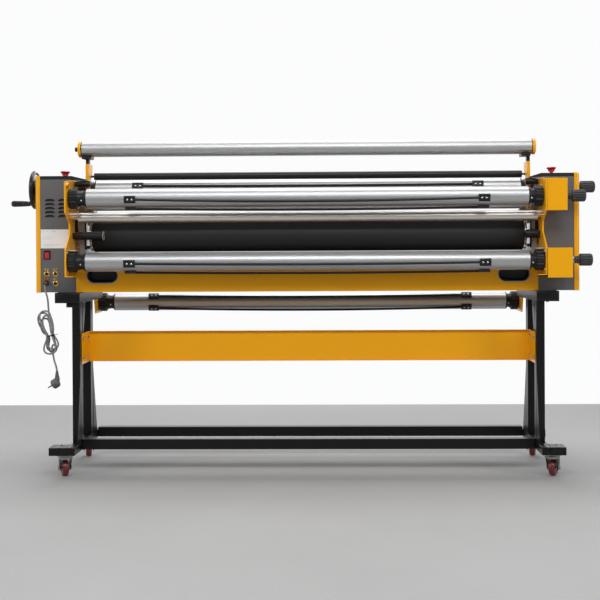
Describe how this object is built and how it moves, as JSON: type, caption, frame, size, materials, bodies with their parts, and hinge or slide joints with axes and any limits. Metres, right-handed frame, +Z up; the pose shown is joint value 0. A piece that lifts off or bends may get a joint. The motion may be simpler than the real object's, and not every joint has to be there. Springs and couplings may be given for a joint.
{
  "type": "cold roll laminator",
  "caption": "Free-standing wide cold roll laminator: rubber nip rollers, grip shafts, handwheel lift, tension knobs and a castor stand.",
  "frame": {"origin": "on the floor, under the middle of the machine's overall box", "axes": "+X along the rollers towards the tension knobs, +Y from the switch side towards the feed side, +Z up"},
  "size_m": [2.332, 0.6999, 1.2949],
  "materials": {
    "black_frame_paint": "semi-gloss black powder coat",
    "yellow_paint": "glossy golden yellow paint",
    "grey_cabinet_paint": "fine textured dark grey powder coat",
    "zinc": "zinc plated, slightly yellow",
    "steel": "ground steel",
    "idler_steel": "warm brushed steel",
    "bright_aluminium": "satin anodised with fine lengthwise lines",
    "roller_rubber": "satin charcoal rubber",
    "black_plastic": "moulded black plastic",
    "grip_black": "ribbed black plastic",
    "black_roller_skin": "black coated roller",
    "red_plastic": "glossy red",
    "brass_fitting": "brass rim",
    "castor_red": "maroon polyurethane",
    "cord_grey": "mid-grey sheath",
    "plug_grey": "grey moulded plug",
    "belt_rubber": "drive belt"
  },
  "bodies": {
    "machine": {"stand_feet": "black_frame_paint", "stand_posts": "black_frame_paint", "stand_rails": "black_frame_paint", "stretcher_panel": "yellow_paint", "caster_plates": "zinc", "side_frames": "yellow_paint", "bearing_plates": "steel", "rear_beam": "yellow_paint", "beam_cups": "black_plastic", "cabinet_left": "grey_cabinet_paint", "cabinet_right": "grey_cabinet_paint", "top_caps": "black_frame_paint", "end_covers": "yellow_paint", "brake_boxes": "yellow_paint", "roller_arms": "yellow_paint", "tube_saddles": "black_plastic", "feed_table": "grey_cabinet_paint", "safety_sensors": "black_plastic", "drive_belt": "belt_rubber", "gear_motor": "black_frame_paint", "panel_fittings": "black_plastic", "power_sockets": "brass_fitting", "power_cord": "cord_grey", "cord_hank": "cord_grey", "mains_plug": "plug_grey"},
    "caster_front_left": {"caster_fork_front_left": "black_frame_paint"},
    "wheel_front_left": {"caster_wheel_front_left": "castor_red"},
    "caster_front_right": {"caster_fork_front_right": "black_frame_paint"},
    "wheel_front_right": {"caster_wheel_front_right": "castor_red"},
    "caster_rear_left": {"caster_fork_rear_left": "black_frame_paint"},
    "wheel_rear_left": {"caster_wheel_rear_left": "castor_red"},
    "caster_rear_right": {"caster_fork_rear_right": "black_frame_paint"},
    "wheel_rear_right": {"caster_wheel_rear_right": "castor_red"},
    "near_upper_spool": {"near_upper_shaft": "bright_aluminium", "near_upper_chucks": "grip_black"},
    "near_lower_spool": {"near_lower_shaft": "bright_aluminium", "near_lower_chucks": "grip_black"},
    "far_upper_spool": {"far_upper_shaft": "bright_aluminium", "far_upper_chucks": "grip_black"},
    "bottom_spool": {"bottom_shaft": "bright_aluminium", "bottom_chucks": "grip_black"},
    "lower_roller": {"lower_roller_core": "steel", "lower_roller_rubber": "roller_rubber"},
    "motor_output": {"motor_pulley": "steel"},
    "lift_carriage": {"bearing_blocks": "steel"},
    "upper_roller": {"upper_roller_core": "steel", "upper_roller_rubber": "roller_rubber"},
    "lift_cross_shaft": {"lift_shaft": "steel"},
    "handwheel": {"handwheel": "black_plastic"},
    "crank_grip": {"crank_grip": "black_plastic"},
    "idler": {"idler_roller": "idler_steel"},
    "black_idler": {"black_roller": "black_roller_skin"},
    "top_tube": {"top_tube": "bright_aluminium", "top_tube_caps": "yellow_paint"},
    "knob_near_upper": {"knob_near_upper": "grip_black"},
    "knob_near_lower": {"knob_near_lower": "grip_black"},
    "knob_far_upper": {"knob_far_upper": "grip_black"},
    "estop_left": {"estop_left": "red_plastic"},
    "estop_right": {"estop_right": "red_plastic"},
    "rocker": {"rocker_key": "red_plastic"}
  },
  "joints": [
    {"name": "caster_front_left_swivel", "type": "hinge", "parent": "machine", "child": "caster_front_left", "pos_m": [-0.903, -0.31425, 0.079], "axis": [0, 0, 1], "continuous": true},
    {"name": "wheel_front_left_spin", "type": "hinge", "parent": "caster_front_left", "child": "wheel_front_left", "pos_m": [-0.91154, -0.29507, 0.032], "axis": [0.9135, 0.4067, 0], "continuous": true},
    {"name": "caster_front_right_swivel", "type": "hinge", "parent": "machine", "child": "caster_front_right", "pos_m": [0.943, -0.31425, 0.079], "axis": [0, 0, 1], "continuous": true},
    {"name": "wheel_front_right_spin", "type": "hinge", "parent": "caster_front_right", "child": "wheel_front_right", "pos_m": [0.95286, -0.29571, 0.032], "axis": [0.8829, -0.4695, 0], "continuous": true},
    {"name": "caster_rear_left_swivel", "type": "hinge", "parent": "machine", "child": "caster_rear_left", "pos_m": [-0.903, 0.08575, 0.079], "axis": [0, 0, 1], "continuous": true},
    {"name": "wheel_rear_left_spin", "type": "hinge", "parent": "caster_rear_left", "child": "wheel_rear_left", "pos_m": [-0.90737, 0.10629, 0.032], "axis": [0.9781, 0.2079, 0], "continuous": true},
    {"name": "caster_rear_right_swivel", "type": "hinge", "parent": "machine", "child": "caster_rear_right", "pos_m": [0.943, 0.08575, 0.079], "axis": [0, 0, 1], "continuous": true},
    {"name": "wheel_rear_right_spin", "type": "hinge", "parent": "caster_rear_right", "child": "wheel_rear_right", "pos_m": [0.94844, 0.10603, 0.032], "axis": [0.9659, -0.2588, 0], "continuous": true},
    {"name": "near_upper_spool_spin", "type": "hinge", "parent": "machine", "child": "near_upper_spool", "pos_m": [0.02, -0.25125, 1.064], "axis": [1, 0, 0], "continuous": true},
    {"name": "near_lower_spool_spin", "type": "hinge", "parent": "machine", "child": "near_lower_spool", "pos_m": [0.02, -0.27125, 0.8185], "axis": [1, 0, 0], "continuous": true},
    {"name": "far_upper_spool_spin", "type": "hinge", "parent": "machine", "child": "far_upper_spool", "pos_m": [0.02, -0.07025, 1.107], "axis": [1, 0, 0], "continuous": true},
    {"name": "bottom_spool_spin", "type": "hinge", "parent": "machine", "child": "bottom_spool", "pos_m": [0.02, 0.30375, 0.636], "axis": [1, 0, 0], "continuous": true},
    {"name": "lower_roller_spin", "type": "hinge", "parent": "machine", "child": "lower_roller", "pos_m": [0.02, -0.10125, 0.789], "axis": [1, 0, 0], "continuous": true},
    {"name": "motor_output_spin", "type": "hinge", "parent": "machine", "child": "motor_output", "pos_m": [0.983, 0.04375, 0.789], "axis": [1, 0, 0], "continuous": true},
    {"name": "upper_roller_spin", "type": "hinge", "parent": "lift_carriage", "child": "upper_roller", "pos_m": [0.02, -0.10125, 0.921], "axis": [1, 0, 0], "continuous": true},
    {"name": "upper_roller_lift", "type": "slide", "parent": "machine", "child": "lift_carriage", "axis": [0, 0, 1], "range_m": [-0.00147, 0.02321]},
    {"name": "lift_shaft_turn", "type": "hinge", "parent": "machine", "child": "lift_cross_shaft", "pos_m": [0.02, -0.11625, 1.03], "axis": [1, 0, 0], "range_deg": [-5.92, 88.95]},
    {"name": "handwheel_turn", "type": "hinge", "parent": "machine", "child": "handwheel", "pos_m": [-1.078, -0.07125, 1.107], "axis": [-1, 0, 0], "range_deg": [-26.5, 410.5]},
    {"name": "crank_grip_spin", "type": "hinge", "parent": "handwheel", "child": "crank_grip", "pos_m": [-1.13, -0.09825, 1.051], "axis": [1, 0, 0], "continuous": true},
    {"name": "idler_spin", "type": "hinge", "parent": "machine", "child": "idler", "pos_m": [0.02, -0.20125, 0.99], "axis": [1, 0, 0], "continuous": true},
    {"name": "black_idler_spin", "type": "hinge", "parent": "machine", "child": "black_idler", "pos_m": [0.02, -0.11125, 1.157], "axis": [1, 0, 0], "continuous": true},
    {"name": "top_tube_spin", "type": "hinge", "parent": "machine", "child": "top_tube", "pos_m": [0.02, -0.14125, 1.263], "axis": [1, 0, 0], "continuous": true},
    {"name": "knob_near_upper_turn", "type": "hinge", "parent": "machine", "child": "knob_near_upper", "pos_m": [1.06, -0.25125, 1.064], "axis": [1, 0, 0], "range_deg": [-360, 360]},
    {"name": "knob_near_lower_turn", "type": "hinge", "parent": "machine", "child": "knob_near_lower", "pos_m": [1.06, -0.27125, 0.8185], "axis": [1, 0, 0], "range_deg": [-360, 360]},
    {"name": "knob_far_upper_turn", "type": "hinge", "parent": "machine", "child": "knob_far_upper", "pos_m": [1.06, -0.07025, 1.107], "axis": [1, 0, 0], "range_deg": [-360, 360]},
    {"name": "estop_left_press", "type": "slide", "parent": "machine", "child": "estop_left", "axis": [0, 0, -1], "range_m": [0, 0.005]},
    {"name": "estop_right_press", "type": "slide", "parent": "machine", "child": "estop_right", "axis": [0, 0, -1], "range_m": [0, 0.005]},
    {"name": "rocker_switch", "type": "hinge", "parent": "machine", "child": "rocker", "pos_m": [-1.001, -0.18525, 0.8455], "axis": [1, 0, 0], "range_deg": [-14, 0]}
  ],
  "couplings": [
    {"joint": "motor_output_spin", "follows": "lower_roller_spin", "ratio": 1.4},
    {"joint": "lift_shaft_turn", "follows": "upper_roller_lift", "rad_per_m": 66.667},
    {"joint": "handwheel_turn", "follows": "upper_roller_lift", "rad_per_m": 308.33}
  ]
}
